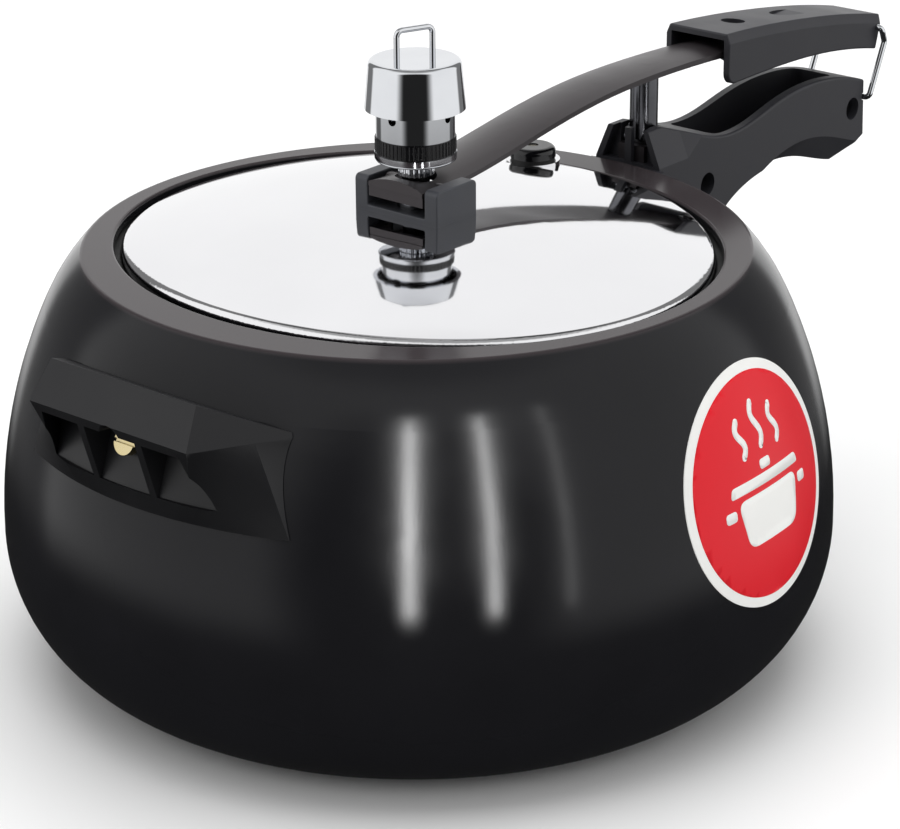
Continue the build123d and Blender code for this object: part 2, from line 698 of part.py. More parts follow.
def valve_body():
    head = at_valve(0.8, 0.8 + VALVE_H, VALVE_D)
    head = fillet(head.edges().sort_by(Axis.Z)[-1], 1.8)
    return head + at_valve(-PAD_T - 5.5, 1.5, VALVE_HOLE) - at_valve(-20, 20, PLUG_D)


def valve_plug():
    return at_valve(-4.0, VALVE_H + 0.4, PLUG_D)


def valve_seal():
    return at_valve(0, 0.8, VALVE_D - 0.6) - at_valve(-1, 2, VALVE_HOLE)


def valve_nut():
    z1 = VALVE_Z - PAD_T
    return hexagon(VALVE_X, VALVE_Y, z1 - 4.0, z1, VALVE_HOLE + 4.0) - at_valve(-20, 20, VALVE_HOLE)


# ---------------------------------------------------------------- lever

# crown of the bar: shares of the way to the fulcrum with heights, then points from the rim
BAR_INNER = [(0.2202, 1.8), (0.4954, 6.4), (0.7523, 9.2), (0.9908, 9.6)]
BAR_OUTER = [(41.2, 28.4), (64.2, 26.6), (90.2, 23.2), (120.2, 18.0)]


def bar_path():
    """The bar's crown seen from the side."""
    points = [(BRACKET_X0, BAR_Z), (9.0, BAR_Z + 0.1)]
    points += [(share * FULCRUM_X, BAR_Z + rise) for share, rise in BAR_INNER]
    points += from_rim(BAR_OUTER)
    return Spline(*[(x, 0, z) for x, z in points])


def bar_strip():
    """Strip with a crowned top, bent along its path."""
    path = bar_path()
    half = BAR_W / 2
    start = Plane(origin=path @ 0, x_dir=(0, 1, 0), z_dir=path % 0)
    up = 1 if start.y_dir.Z > 0 else -1
    with BuildSketch(start) as section:
        with BuildLine():
            ThreePointArc((-half, -up * BAR_CROWN), (0, 0), (half, -up * BAR_CROWN))
            Line((half, -up * BAR_CROWN), (half, -up * BAR_T))
            Line((half, -up * BAR_T), (-half, -up * BAR_T))
            Line((-half, -up * BAR_T), (-half, -up * BAR_CROWN))
        make_face()
    return sweep(section.sketch, path=path)


def countersink():
    """Cone in the bar's top that the rivet's end fills."""
    top = BAR_Z + BAR_INNER[-1][1] + 0.1
    small = POST_PIN_D / 2
    wide = RIVET_CAP_D / 2
    return Pos(FULCRUM_X, 0, top - RIVET_CAP_T / 2) * Cone(small, wide, RIVET_CAP_T)


def lever_bar():
    bar = bar_strip() & plan_taper(BRACKET_X0 - 1, BAR_X1 + 1, BAR_W, HANDLE_W1 - 2 * LID_HANDLE_WALL - 1.0)
    low = PIN_Z - 1.3
    high = BAR_Z - BAR_CROWN - 0.6
    bar += box(BRACKET_X0, BRACKET_X0 + LIP_T, -BAR_W / 2, BAR_W / 2, low, high)
    for side in (1, -1):
        y0 = side * BAR_W / 2
        y1 = side * (BAR_W / 2 - FLANGE_T)
        bar += box(BRACKET_X0, BRACKET_X1, min(y0, y1), max(y0, y1), low, high)
        bar += rod((0, y0, PIN_Z), (0, y1, PIN_Z), 2 * LUG_R)
    bar -= across(0, PIN_Z, 30, PIN_D + 2 * PIN_FIT)
    bar -= upright(0, 0, LID_Z, LID_Z + 30, COLLAR_D + 1.0)
    bar -= upright(FULCRUM_X, 0, LID_Z, FAR, POST_PIN_D)
    bar -= countersink()
    for x in LID_SCREWS:
        bar -= upright(x, 0, LID_Z - 10, FAR, SCREW_D + 2 * DRILL)
    return bar


def fulcrum_post():
    post = upright(FULCRUM_X, 0, FOOT_Z, POST_TOP, POST_D)
    post += across(FULCRUM_X, FOOT_Z, FOOT_HALF, 2 * FOOT_R)
    return post - upright(FULCRUM_X, 0, POST_PIN_Z, POST_TOP + 9, POST_PIN_D)


def fulcrum_rivet():
    """Its upper end is spread into the bar's countersink and ground flush with the bar."""
    shank = upright(FULCRUM_X, 0, POST_PIN_Z, RIM_Z + 28.0, POST_PIN_D)
    return shank + ((countersink() + upright(FULCRUM_X, 0, RIM_Z + 26.5, RIM_Z + 32.0, POST_PIN_D)) & bar_strip())


LID_TOP = [(41.2, 33.4), (62.2, 31.9), (86.2, 29.2), (110.2, 25.6), (133.7, 20.8)]
LID_UNDER = [(130.3, 9.7), (111.2, 13.4), (96.2, 15.3), (78.2, 16.5), (45.2, 16.9)]
LID_FRONT = [(42.4, 18.0), (41.2, 21.0)]
LID_HOLLOW = [(40.2, 31.4), (62.2, 30.0), (86.2, 27.3), (110.2, 22.9), (127.7, 18.6)]


def lid_handle_outline():
    top = Spline(*from_rim(LID_TOP))
    under = Spline(*from_rim(LID_UNDER))
    Line(top @ 1, under @ 0)
    bend, corner = from_rim(LID_FRONT)
    ThreePointArc(under @ 1, bend, corner)
    Line(corner, top @ 0)


def lid_handle_hollow():
    top = Spline(*from_rim(LID_HOLLOW))
    low = RIM_Z - 4
    end = (LID_HANDLE_X1 - 8.4, low)
    start = (LID_HANDLE_X0 - 1, low)
    Line(top @ 1, end)
    Line(end, start)
    Line(start, top @ 0)


def top_bevel(body, side):
    """Bevel along the top of one side, deeper down the side than in over the top."""
    wall = max(body.faces(), key=lambda f: side * f.center().Y)
    edge = max(wall.edges(), key=lambda e: (e @ 0.5).Z)
    return chamfer(edge, LID_BEVEL_SIDE, LID_BEVEL_TOP, reference=wall)


def lid_handle():
    body = side_block(lid_handle_outline, HANDLE_W0 / 2)
    body &= plan_taper(LID_HANDLE_X0, LID_HANDLE_X1, HANDLE_W0, HANDLE_W1)
    for side in (1, -1):
        body = top_bevel(body, side)
    body = fillet([e for e in body.edges() if abs((e @ 0.5).Y) > 2], 0.6)
    hollow = side_block(lid_handle_hollow, 20)
    inner = 2 * LID_HANDLE_WALL
    body -= hollow & plan_taper(LID_HANDLE_X0 - 1, LID_HANDLE_X1, HANDLE_W0 - inner, HANDLE_W1 - inner)
    # recess for the front screw's head, and a shallow blank oval
    front, rear = LID_SCREWS
    body += upright(front, 0, LID_BOSS_Z, RIM_Z + 31.0, LID_BOSS_D)
    body -= upright(front, 0, LID_SCREW_Z, FAR, HEAD_D + 0.8)
    body -= upright(front, 0, RIM_Z, FAR, SCREW_D + 2 * DRILL)
    body -= upright(rear, 0, RIM_Z, RIM_Z + 24.3, SCREW_D)
    x, z = OVAL_AT
    body -= Pos(x, 0, z) * extrude(Ellipse(9.0, 4.2), 10)
    return body - across(LATCH_X, LATCH_Z, 30, WIRE_D + 2 * PIN_FIT)



def lid_handle_screws():
    x, rear_x = LID_SCREWS
    head = upright(x, 0, LID_SCREW_Z, LID_SCREW_Z + 1.6, HEAD_D)
    head -= box(x - 5, x + 5, -0.6, 0.6, LID_SCREW_Z + 0.6, LID_SCREW_Z + 3)
    front = upright(x, 0, LID_SCREW_Z - 12, LID_SCREW_Z + 0.1, SCREW_D) + head
    rear = upright(rear_x, 0, RIM_Z + 15.4, RIM_Z + 24.3, SCREW_D)
    rear += upright(rear_x, 0, RIM_Z + 13.9, RIM_Z + 15.5, HEAD_D)
    return [front, rear]


def lid_handle_nut():
    x = LID_SCREWS[0]
    return hexagon(x, 0, RIM_Z + 19.6, RIM_Z + 23.2, HEAD_D) - upright(x, 0, RIM_Z, FAR, SCREW_D)


def latch_loop():
    """Bent wire: two legs and a crossbar, its ends turned inwards into the handle."""
    legs = []
    for side in (1, -1):
        y = side * LATCH_HALF
        path = FilletPolyline((LATCH_X, side * LATCH_IN, LATCH_Z), (LATCH_X, y, LATCH_Z),
                              (LATCH_X + 2.2, y, LATCH_Z - 5.0), (HOOK_X, y, HOOK_Z), (HOOK_X, 0, HOOK_Z),
                              radius=1.6)
        legs.append(sweep(Plane(origin=path @ 0, z_dir=path % 0) * Circle(WIRE_D / 2), path=path))
    return legs[0] + legs[1]


# ---------------------------------------------------------------- pressure regulator

def weight_body():
    body = upright(0, 0, BAND_Z1, WEIGHT_TOP, REG_D) + upright(0, 0, BAND_Z0, BAND_Z1 + 1, CORE_D)
    body -= upright(0, 0, REG_Z - 5, CHAMBER_Z0 + 1, BORE_D)
    body -= upright(0, 0, CHAMBER_Z0, REG_CAP_Z0, CHAMBER_D)
    body = bored(body, NEEDLE_D)
    z = REG_CAP_Z0 - 1.6
    for k in range(4):
        a = radians(90 * k + 5)
        body -= rod((0, 0, z), (20 * cos(a), 20 * sin(a), z), PORT_D)
    return body


def weight_needle():
    tip = cone(TUBE_TOP - 0.9, 0.8, NEEDLE_D / 2, 4.0)
    return tip + upright(0, 0, TUBE_TOP + 3.1, WEIGHT_TOP - 2.6, NEEDLE_D)


def weight_band():
    return bored(upright(0, 0, BAND_Z0, BAND_Z1, REG_D + 0.3), CORE_D)


def weight_base():
    ring = upright(0, 0, REG_Z, BAND_Z0, REG_D + 1.0)
    return bored(fillet(ring.edges().sort_by(Axis.Z)[0], 0.7), BORE_D + 1.6)


def weight_cap():
    radius = REG_CAP_D / 2
    skirt = cone(REG_CAP_Z0, radius, radius - CAP_TAPER, REG_TOP - REG_CAP_Z0)
    skirt = fillet(skirt.edges().sort_by(Axis.Z)[-1], 1.6)
    skirt -= upright(0, 0, REG_CAP_Z0 - 1, WEIGHT_TOP, REG_D)
    skirt -= cone(REG_CAP_Z0 - 0.1, radius - CAP_T, REG_D / 2, 8.0)
    for side in (1, -1):
        foot = Vector(side * LOOP_W / 2, 0, 0).rotate(Axis.Z, LOOP_TURN)
        skirt -= upright(foot.X, foot.Y, WEIGHT_TOP - 1, REG_TOP + 1, LOOP_WIRE)
    return skirt


def weight_loop():
    half = LOOP_W / 2
    high = REG_TOP + LOOP_H
    path = FilletPolyline((-half, 0, WEIGHT_TOP), (-half, 0, high), (half, 0, high), (half, 0, WEIGHT_TOP),
                          radius=1.8)
    wire = sweep(Plane(origin=path @ 0, z_dir=path % 0) * Circle(LOOP_WIRE / 2), path=path)
    return Rot(0, 0, LOOP_TURN) * wire


PARTS = {
    "pot_body": pot_body,
    "body_rivets": body_rivets,
    "body_bracket": body_bracket,
    "fulcrum_seat": fulcrum_seat,
    "body_handle_left": lambda: body_handle_half(1),
    "body_handle_right": lambda: body_handle_half(-1),
    "body_handle_screws": body_handle_screws,
    "body_handle_nuts": body_handle_nuts,
    "helper_handle": helper_handle,
    "helper_bracket": helper_bracket,
    "helper_screw": helper_screw,
    "label": label,
    "lid": lid,
    "gasket": gasket,
    "lid_bracket": lid_bracket,
    "bracket_pins": bracket_pins,
    "vent_tube": vent_tube,
    "vent_nut": vent_nut,
    "vent_seal": vent_seal,
    "vent_locknut": vent_locknut,
    "valve_body": valve_body,
    "valve_plug": valve_plug,
    "valve_seal": valve_seal,
    "valve_nut": valve_nut,
    "lever_bar": lever_bar,
    "fulcrum_post": fulcrum_post,
    "fulcrum_rivet": fulcrum_rivet,
    "lid_handle": lid_handle,
    "lid_handle_screws": lid_handle_screws,
    "lid_handle_nut": lid_handle_nut,
    "latch_loop": latch_loop,
    "weight_body": weight_body,
    "weight_needle": weight_needle,
    "weight_band": weight_band,
    "weight_base": weight_base,
    "weight_cap": weight_cap,
    "weight_loop": weight_loop,
}

os.makedirs("parts", exist_ok=True)
for name, make in PARTS.items():
    made = make()
    if isinstance(made, list):
        made = Compound(children=made)
    export_step(made, f"parts/{name}.step")
    print(name, round(made.volume, 1))
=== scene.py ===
from math import cos, pi, radians, sin

import bmesh
import bpy
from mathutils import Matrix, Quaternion, Vector
from mathutils.bvhtree import BVHTree


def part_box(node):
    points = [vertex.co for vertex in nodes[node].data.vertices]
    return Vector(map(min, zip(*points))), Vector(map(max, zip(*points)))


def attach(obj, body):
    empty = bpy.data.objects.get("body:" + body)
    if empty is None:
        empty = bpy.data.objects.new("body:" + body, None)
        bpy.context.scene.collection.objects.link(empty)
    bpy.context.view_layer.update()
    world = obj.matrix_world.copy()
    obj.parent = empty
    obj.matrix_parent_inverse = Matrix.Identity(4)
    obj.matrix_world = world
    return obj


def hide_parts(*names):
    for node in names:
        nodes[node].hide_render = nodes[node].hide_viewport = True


# Stovetop pressure cooker: finishes, softened edges, the printed label and the small ribs,
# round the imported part.
# Metres, +X along the long handles, +Z up.

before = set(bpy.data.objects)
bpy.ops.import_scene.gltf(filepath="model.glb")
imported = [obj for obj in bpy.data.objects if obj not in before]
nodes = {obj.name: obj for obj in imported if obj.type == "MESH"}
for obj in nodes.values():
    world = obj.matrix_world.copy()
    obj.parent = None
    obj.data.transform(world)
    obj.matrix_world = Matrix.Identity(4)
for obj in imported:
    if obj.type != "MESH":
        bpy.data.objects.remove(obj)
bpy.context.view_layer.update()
MM = 0.001
MIX_FACTOR, MIX_A, MIX_B, MIX_RESULT = 0, 6, 7, 2   # sockets of a colour Mix node
LABEL_STEPS = 120                                   # corners of the label's round field
BAND_RIBS = 56                                      # ribs round the regulator's band
NUT_TEETH = 20                                      # teeth round the vent nut

# camera and set
CAMERA_AT = Vector((-0.6185, -0.5310, 0.4032))
CAMERA_TO = Vector((0.0059, -0.0071, 0.0697))
CAMERA_ROLL = -0.37             # degrees
LENS = 120.0
FLOOR_R = 4.0
AWAY = Vector((0.766, 0.643, 0.0))      # level direction from the camera to the pot
LEFT = Vector((-0.643, 0.766, 0.0))

scene = bpy.context.scene
scene.view_settings.view_transform = "Standard"


# ---------------------------------------------------------------- materials

def tint(code):
    """sRGB hex to a linear colour."""
    out = []
    for k in (0, 2, 4):
        c = int(code[k:k + 2], 16) / 255
        out.append(c / 12.92 if c <= 0.04045 else ((c + 0.055) / 1.055) ** 2.4)
    return (*out, 1.0)


def add(tree, kind, inputs=None, **settings):
    """Adds a node; an input is given a value, or the output that feeds it."""
    made = tree.nodes.new(kind)
    for key, value in settings.items():
        setattr(made, key, value)
    for key, value in (inputs or {}).items():
        if isinstance(value, bpy.types.NodeSocket):
            tree.links.new(value, made.inputs[key])
        else:
            made.inputs[key].default_value = value
    return made


def start_material(name, settings):
    """Material with one Principled shader, and Object coordinates for its patterns."""
    mat = bpy.data.materials.new(name)
    mat.use_nodes = True
    tree = mat.node_tree
    shader = tree.nodes["Principled BSDF"]
    for key, value in settings.items():
        shader.inputs[key].default_value = value
    place = add(tree, "ShaderNodeTexCoord").outputs["Object"]
    return mat, tree, shader, place


def mottle(tree, shader, place, size, dark, light, rough_low, rough_high, detail=3.0):
    """Soft variation of colour and roughness, with patches of about size in metres."""
    noise = add(tree, "ShaderNodeTexNoise",
                {"Vector": place, "Scale": 1 / size, "Detail": detail, "Roughness": 0.55})
    fac = noise.outputs["Fac"]
    colour = add(tree, "ShaderNodeMix", {MIX_FACTOR: fac, MIX_A: tint(dark), MIX_B: tint(light)}, data_type="RGBA")
    rough = add(tree, "ShaderNodeMapRange", {"Value": fac, "From Min": 0.3, "From Max": 0.7,
                                             "To Min": rough_low, "To Max": rough_high})
    tree.links.new(colour.outputs[MIX_RESULT], shader.inputs["Base Color"])
    tree.links.new(rough.outputs["Result"], shader.inputs["Roughness"])


def bumps(tree, shader, height, depth, strength):
    """Relief of the given depth in metres."""
    bump = add(tree, "ShaderNodeBump", {"Height": height, "Distance": depth, "Strength": strength})
    tree.links.new(bump.outputs["Normal"], shader.inputs["Normal"])


def grain(tree, place, size, stretch=(1.0, 1.0, 1.0), detail=2.0):
    """Fine noise with features of about size, longer where stretch is below one."""
    spread = add(tree, "ShaderNodeMapping", {"Vector": place, "Scale": stretch})
    noise = add(tree, "ShaderNodeTexNoise",
                {"Vector": spread.outputs["Vector"], "Scale": 1 / size, "Detail": detail})
    return noise.outputs["Fac"]


def anodised_aluminium():
    # Hard anodising on a drawn aluminium body: near black, satin, with faint clouding and a very fine tooth.
    # The top of the flat rim is painted browner and lighter: a painted reflection of the bright room behind it.
    mat, tree, shader, place = start_material("hard_anodised_aluminium",
                                              {"Metallic": 0.0, "Specular IOR Level": 0.2})
    mottle(tree, shader, place, 0.035, "161618", "1c1c1f", 0.14, 0.18)
    colour = shader.inputs["Base Color"].links[0].from_socket
    height = add(tree, "ShaderNodeSeparateXYZ", {0: place}).outputs["Z"]
    rim_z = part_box("pot_body")[1].z
    # Painted reflection: the top millimetre of the rim's height is mixed towards a lighter brown-grey.
    rim_reflection_mask = add(tree, "ShaderNodeMapRange",
                 {"Value": height, "From Min": rim_z - 1.0 * MM, "From Max": rim_z - 0.2 * MM})
    rim_painted_reflection = add(tree, "ShaderNodeMix",
                 {MIX_FACTOR: rim_reflection_mask.outputs["Result"], MIX_A: colour, MIX_B: tint("363133")},
                 data_type="RGBA")
    tree.links.new(rim_painted_reflection.outputs[MIX_RESULT], shader.inputs["Base Color"])
    bumps(tree, shader, grain(tree, place, 0.9 * MM), 0.02 * MM, 0.25)
    return mat


def moulded_phenolic(name, dark, light):
    # Compression-moulded phenolic: dark grey, semi-matte, with a slight orange-peel from the mould.
    mat, tree, shader, place = start_material(name, {"Metallic": 0.0, "Specular IOR Level": 0.4})
    mottle(tree, shader, place, 0.022, dark, light, 0.42, 0.52)
    bumps(tree, shader, grain(tree, place, 1.1 * MM, detail=4.0), 0.05 * MM, 0.22)
    return mat


def mirror_steel():
    # Stainless steel buffed to a mirror: barely any haze, with faint long scratches from wiping.
    mat, tree, shader, place = start_material("mirror_stainless", {"Metallic": 1.0})
    mottle(tree, shader, place, 0.05, "e2e2e4", "ececee", 0.035, 0.07)
    bumps(tree, shader, grain(tree, place, 0.7 * MM, (1.0, 0.12, 1.0)), 0.004 * MM, 0.15)
    return mat


def chrome_plate():
    # Chrome over turned brass: clean and hard-edged in its reflections.
    mat, tree, shader, place = start_material("chrome_plate", {"Metallic": 1.0})
    mottle(tree, shader, place, 0.012, "d2d4d8", "dfe1e4", 0.03, 0.08)
    bumps(tree, shader, grain(tree, place, 0.5 * MM), 0.002 * MM, 0.2)
    return mat


def satin_steel():
    # Stamped steel under a dark satin finish: lines from rolling run along the lever.
    mat, tree, shader, place = start_material("dark_satin_steel", {"Metallic": 0.55})
    mottle(tree, shader, place, 0.03, "353133", "454143", 0.3, 0.42)
    bumps(tree, shader, grain(tree, place, 0.8 * MM, (0.06, 1.0, 1.0)), 0.02 * MM, 0.25)
    return mat


def slate_coating():
    # Baked slate-grey coating on the lid bracket: dull, a little uneven at the folds.
    mat, tree, shader, place = start_material("slate_baked_coating", {"Metallic": 0.2})
    mottle(tree, shader, place, 0.008, "38393d", "484a50", 0.4, 0.52)
    bumps(tree, shader, grain(tree, place, 0.7 * MM), 0.03 * MM, 0.25)
    return mat


def zinc_steel():
    # Zinc-plated steel hardware: greyish, slightly crystalline.
    mat, tree, shader, place = start_material("zinc_plated_steel", {"Metallic": 1.0})
    mottle(tree, shader, place, 0.004, "8f9094", "b6b7ba", 0.22, 0.36)
    bumps(tree, shader, grain(tree, place, 0.6 * MM), 0.01 * MM, 0.3)
    return mat


def black_oxide_steel():
    # Blackened steel screws and pins: nearly black with an oily sheen, slightly blotchy from the bath.
    mat, tree, shader, place = start_material("black_oxide_steel", {"Metallic": 0.3})
    mottle(tree, shader, place, 0.003, "0b0b0c", "17171a", 0.3, 0.45)
    bumps(tree, shader, grain(tree, place, 0.5 * MM), 0.01 * MM, 0.3)
    return mat


def rivet_aluminium():
    # Soft aluminium rivets, hammered: pale, dull, with small flats.
    mat, tree, shader, place = start_material("hammered_aluminium", {"Metallic": 1.0})
    mottle(tree, shader, place, 0.003, "a9aaac", "c9cacb", 0.3, 0.45)
    bumps(tree, shader, grain(tree, place, 1.2 * MM), 0.04 * MM, 0.4)
    return mat


def bright_post_steel():
    # Turned stainless post: bright, with rings left by the lathe.
    mat, tree, shader, place = start_material("turned_stainless", {"Metallic": 1.0})
    mottle(tree, shader, place, 0.01, "5c5d61", "76777b", 0.16, 0.26)
    bumps(tree, shader, grain(tree, place, 0.5 * MM, (0.05, 0.05, 1.0)), 0.01 * MM, 0.3)
    return mat


def brassy_screw():
    # Passivated zinc on the helper handle's screw: a pale yellow shine.
    mat, tree, shader, place = start_material("yellow_passivated_zinc", {"Metallic": 1.0})
    mottle(tree, shader, place, 0.003, "c9b784", "e6d9b0", 0.2, 0.32)
    bumps(tree, shader, grain(tree, place, 0.5 * MM), 0.01 * MM, 0.2)
    return mat


def nitrile_rubber():
    # Moulded rubber seal: black and dull, with a faint bloom.
    mat, tree, shader, place = start_material("nitrile_rubber", {"Metallic": 0.0, "IOR": 1.5})
    mottle(tree, shader, place, 0.01, "0c0c0c", "141414", 0.55, 0.7)
    bumps(tree, shader, grain(tree, place, 0.8 * MM), 0.03 * MM, 0.3)
    return mat


def glossy_band():
    # Injection-moulded black band: glossy.
    mat, tree, shader, place = start_material("gloss_moulded_band", {"Metallic": 0.0, "IOR": 1.5})
    mottle(tree, shader, place, 0.006, "08080a", "0f0f12", 0.12, 0.2)
    bumps(tree, shader, grain(tree, place, 0.7 * MM), 0.01 * MM, 0.15)
    return mat


def printed_film(name, dark, light):
    # Screen-printed vinyl film: even ink under a light gloss, with a trace of orange peel.
    mat, tree, shader, place = start_material(name, {"Metallic": 0.0, "Specular IOR Level": 0.25})
    mottle(tree, shader, place, 0.02, dark, light, 0.28, 0.36)
    bumps(tree, shader, grain(tree, place, 1.2 * MM), 0.01 * MM, 0.15)
    return mat


def soft_alloy():
    # Low-melting alloy in the safety valve: grey, dull, cast.
    mat, tree, shader, place = start_material("cast_fusible_alloy", {"Metallic": 1.0})
    mottle(tree, shader, place, 0.003, "77756e", "99968c", 0.4, 0.55)
    bumps(tree, shader, grain(tree, place, 0.6 * MM), 0.03 * MM, 0.4)
    return mat


ANODISED = anodised_aluminium()
PHENOLIC = moulded_phenolic("moulded_phenolic", "27272b", "313136")
DARK_PHENOLIC = moulded_phenolic("dark_moulded_phenolic", "131315", "1a1a1d")
MIRROR = mirror_steel()
CHROME = chrome_plate()
SATIN = satin_steel()
SLATE = slate_coating()
ZINC = zinc_steel()
BLACK_OXIDE = black_oxide_steel()
RIVET = rivet_aluminium()
POST = bright_post_steel()
BRASSY = brassy_screw()
RUBBER = nitrile_rubber()
BAND = glossy_band()
FILM_WHITE = printed_film("white_printed_film", "e9e9e6", "f4f4f1")
FILM_RED = printed_film("red_printed_film", "d8101f", "e01526")
ALLOY = soft_alloy()

FINISHES = {
    "pot_body": ANODISED, "body_rivets": RIVET, "body_bracket": ZINC, "fulcrum_seat": SATIN,
    "body_handle_left": PHENOLIC, "body_handle_right": PHENOLIC, "body_handle_screws": BLACK_OXIDE,
    "body_handle_nuts": ZINC, "helper_handle": DARK_PHENOLIC, "helper_bracket": ZINC, "helper_screw": BRASSY,
    "label": FILM_WHITE, "lid": MIRROR, "gasket": RUBBER, "lid_bracket": SLATE, "bracket_pins": SLATE,
    "vent_tube": POST, "vent_nut": CHROME, "vent_seal": RUBBER, "vent_locknut": ZINC,
    "valve_body": BAND, "valve_plug": ALLOY, "valve_seal": RUBBER, "valve_nut": ZINC,
    "lever_bar": SATIN, "fulcrum_post": POST, "fulcrum_rivet": SATIN, "lid_handle": PHENOLIC,
    "lid_handle_screws": BLACK_OXIDE, "lid_handle_nut": ZINC, "latch_loop": CHROME,
    "weight_body": CHROME, "weight_needle": POST, "weight_band": BAND, "weight_base": CHROME,
    "weight_cap": CHROME, "weight_loop": CHROME,
}
for node_name, finish in FINISHES.items():
    mesh = nodes[node_name].data
    mesh.materials.clear()
    mesh.materials.append(finish)


# ---------------------------------------------------------------- pieces

def as_piece(name, mesh, body, stands_for=()):
    """Makes an object of a finished mesh and ties it to its body."""
    piece = bpy.data.objects.new(name, mesh)
    scene.collection.objects.link(piece)
    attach(piece, body)
    if stands_for:
        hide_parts(*stands_for)
    return piece


def baked(mesh, name, modifiers):
    """Plain mesh after a chain of modifiers, each given as (type, settings)."""
    rough = bpy.data.objects.new("rough_" + name, mesh)
    scene.collection.objects.link(rough)
    for kind, settings in modifiers:
        modifier = rough.modifiers.new(kind, kind)
        for key, value in settings.items():
            setattr(modifier, key, value)
    view = bpy.context.evaluated_depsgraph_get()
    made = bpy.data.meshes.new_from_object(rough.evaluated_get(view))
    made.name = name
    bpy.data.objects.remove(rough)
    return made


def softened(node, name, body, width, finish):
    """Copy of a CAD node with its sharp edges rounded, as they come from a mould."""
    bm = bmesh.new()
    bm.from_mesh(nodes[node].data)
    bmesh.ops.remove_doubles(bm, verts=bm.verts, dist=0.002 * MM)
    bmesh.ops.dissolve_limit(bm, angle_limit=radians(0.6), verts=bm.verts, edges=bm.edges)
    mesh = bpy.data.meshes.new(name)
    bm.to_mesh(mesh)
    bm.free()
    for face in mesh.polygons:
        face.use_smooth = True
    mesh.materials.clear()
    mesh.materials.append(finish)
    rounding = {"width": width, "segments": 2, "limit_method": "ANGLE", "angle_limit": radians(28),
                "use_clamp_overlap": True, "miter_outer": "MITER_ARC"}
    mesh = baked(mesh, name, [("BEVEL", rounding), ("WEIGHTED_NORMAL", {"weight": 80})])
    return as_piece(name, mesh, body, [node])


softened("helper_handle", "helper_handle_moulding", "pot", 0.7 * MM, DARK_PHENOLIC)


# The label is a white film with a red field and a plain picture of a steaming pot.
LABEL_FIELD_R = 31.2
INK_T = 0.05
GRID = 3.0


def label_plane():
    """Centre of the label and its sideways, upward and outward directions."""
    outward = Vector((0, 0, 0))
    centre = Vector((0, 0, 0))
    area = 0.0
    for face in nodes["label"].data.polygons:
        if face.normal.xy.dot(face.center.xy) > 0:
            outward += face.normal * face.area
            centre += face.center * face.area
            area += face.area
    outward.normalize()
    side = Vector((0, 0, 1)).cross(outward).normalized()
    return centre / area, side, outward.cross(side), outward


def rounded(points, radius, steps=6):
    """Polygon with its corners rounded, in millimetres."""
    out = []
    count = len(points)
    for k in range(count):
        before, corner, after = (Vector(points[(k + j) % count]) for j in (-1, 0, 1))
        start = corner + (before - corner).normalized() * radius
        end = corner + (after - corner).normalized() * radius
        for i in range(steps + 1):
            t = i / steps
            out.append(start * (1 - t) ** 2 + corner * 2 * t * (1 - t) + end * t ** 2)
    return out


def wisp(x, low, high, sway, width, steps=28):
    """Wavy stroke with round ends."""
    line = []
    for i in range(steps + 1):
        t = i / steps
        line.append(Vector((x + sway * sin(2 * pi * t), low + (high - low) * t)))
    left = []
    right = []
    for i in range(steps + 1):
        ahead = line[min(i + 1, steps)] - line[max(i - 1, 0)]
        across = Vector((-ahead.y, ahead.x)).normalized() * width / 2
        left.append(line[i] + across)
        right.append(line[i] - across)
    caps = []
    for end, start_angle in ((line[-1], 0.0), (line[0], pi)):
        caps.append([end + Vector((cos(start_angle + pi * j / 8), sin(start_angle + pi * j / 8))) * width / 2
                     for j in range(1, 8)])
    return right + caps[0] + left[::-1] + caps[1]


def on_label(name, outlines, height, finish):
    """Flat shapes laid on the label's curved face, a little proud of it."""
    centre, side, up, outward = label_plane()
    tree = BVHTree.FromPolygons([v.co for v in nodes["label"].data.vertices],
                                [list(f.vertices) for f in nodes["label"].data.polygons])
    bm = bmesh.new()
    for outline in outlines:
        bm.faces.new([bm.verts.new((p[0], p[1], 0)) for p in outline])
    bmesh.ops.triangulate(bm, faces=bm.faces)
    for axis in range(2):
        normal = [0, 0, 0]
        normal[axis] = 1
        for k in range(-12, 13):
            place = [0, 0, 0]
            place[axis] = k * GRID
            geom = bm.verts[:] + bm.edges[:] + bm.faces[:]
            bmesh.ops.bisect_plane(bm, geom=geom, plane_co=place, plane_no=normal)
    for vert in bm.verts:
        start = centre + side * vert.co.x * MM + up * vert.co.y * MM + outward * 20 * MM
        hit = tree.ray_cast(start, -outward)[0]
        vert.co = hit + outward * height * MM
    bmesh.ops.recalc_face_normals(bm, faces=bm.faces)
    bm.normal_update()
    if sum((f.normal.dot(outward) for f in bm.faces), 0.0) < 0:
        bmesh.ops.reverse_faces(bm, faces=bm.faces)
    mesh = bpy.data.meshes.new(name)
    bm.to_mesh(mesh)
    bm.free()
    for face in mesh.polygons:
        face.use_smooth = True
    mesh.materials.append(finish)
    mesh = baked(mesh, name, [("SOLIDIFY", {"thickness": INK_T * 0.8 * MM, "offset": -1.0})])
    return as_piece(name, mesh, "pot")


